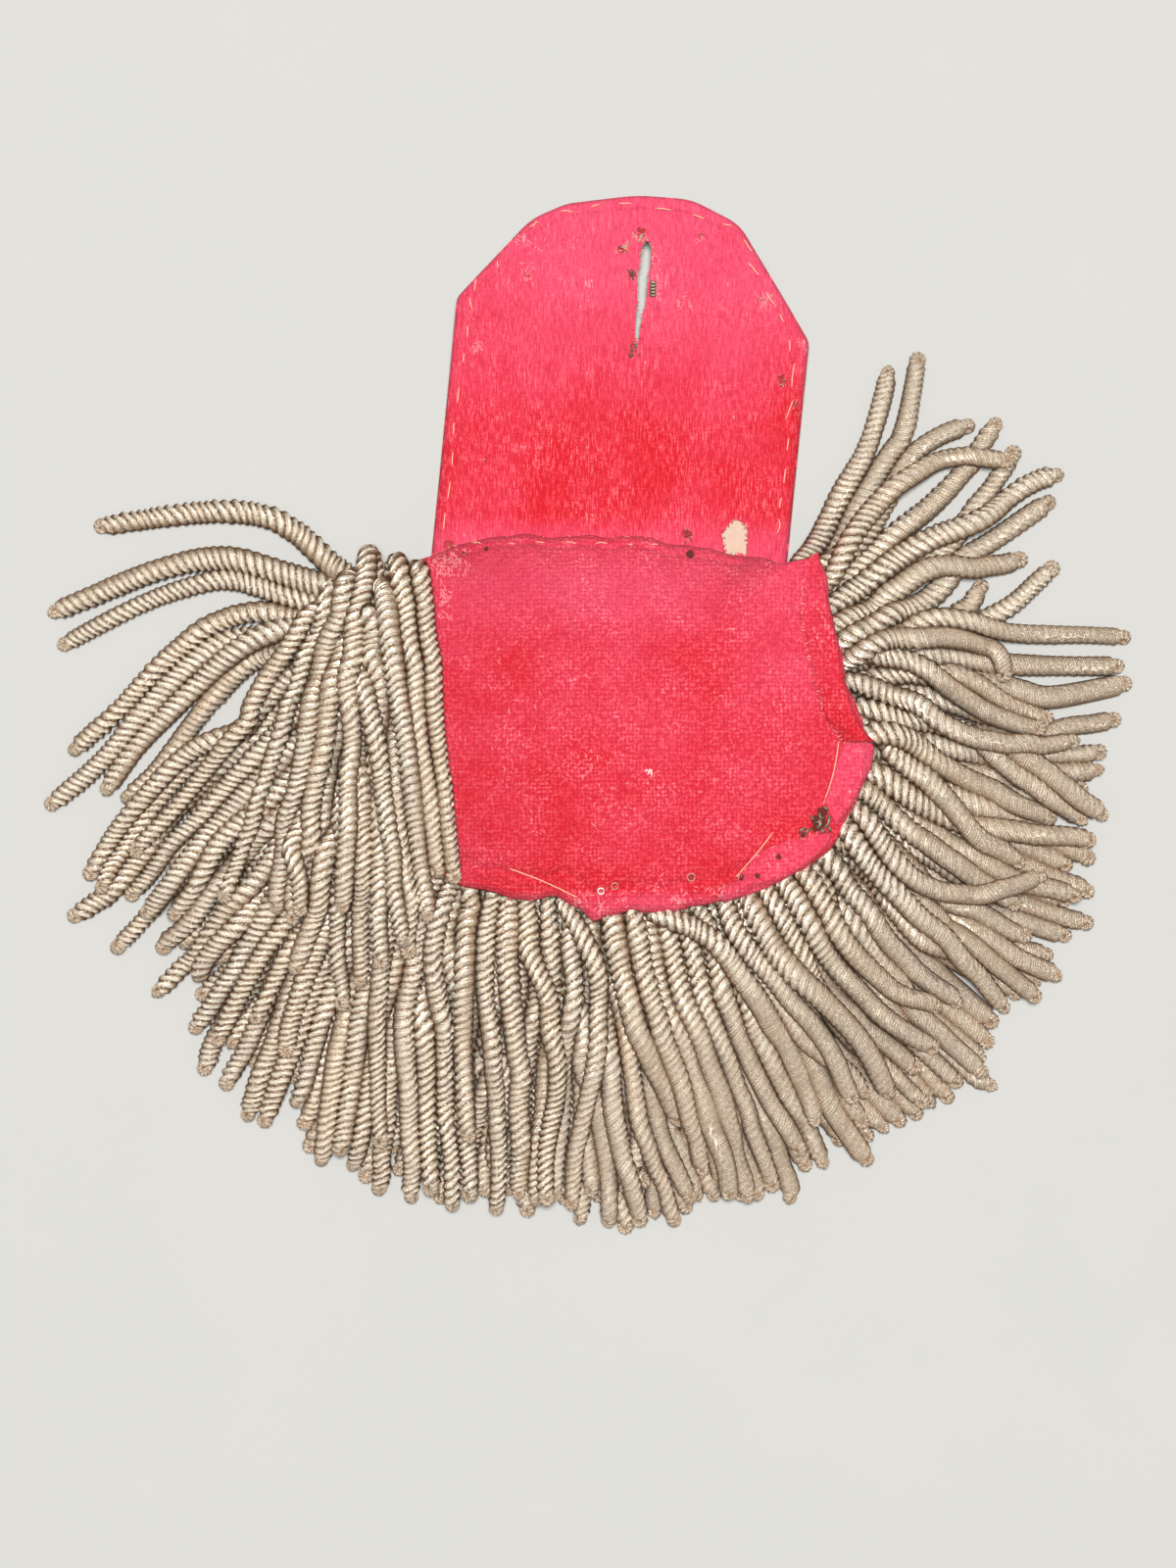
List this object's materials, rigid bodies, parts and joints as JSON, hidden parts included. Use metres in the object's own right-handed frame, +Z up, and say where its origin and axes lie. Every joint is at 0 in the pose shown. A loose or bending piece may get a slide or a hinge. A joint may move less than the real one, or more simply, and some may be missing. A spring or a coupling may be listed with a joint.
{
  "type": "fringed shoulder epaulette",
  "caption": "Fringed dress epaulette lying face down: red lined strap with a button slit, padded crescent and thick silver bullion fringe.",
  "frame": {"origin": "on the surface, under the middle of the whole outline", "axes": "+Z up out of the red lining, +Y towards the strap's tip"},
  "size_m": [0.1964, 0.191, 0.0199],
  "materials": {
    "silver_lace": "plain woven silver lace, tarnished",
    "card": "buff pasteboard, bare where the lining is torn",
    "red_cloth": "red cotton velveteen, worn, moth-eaten, hand stitched",
    "silver_bullion": "twisted silver wire bullion cord, tarnished brown in the hollows"
  },
  "bodies": {
    "root": {"lace_face": "silver_lace", "stiffener": "card", "strap_lining": "red_cloth", "crescent_pad": "red_cloth", "fringe_outer_row": "silver_bullion", "fringe_middle_row": "silver_bullion", "fringe_inner_row": "silver_bullion"}
  },
  "joints": []
}
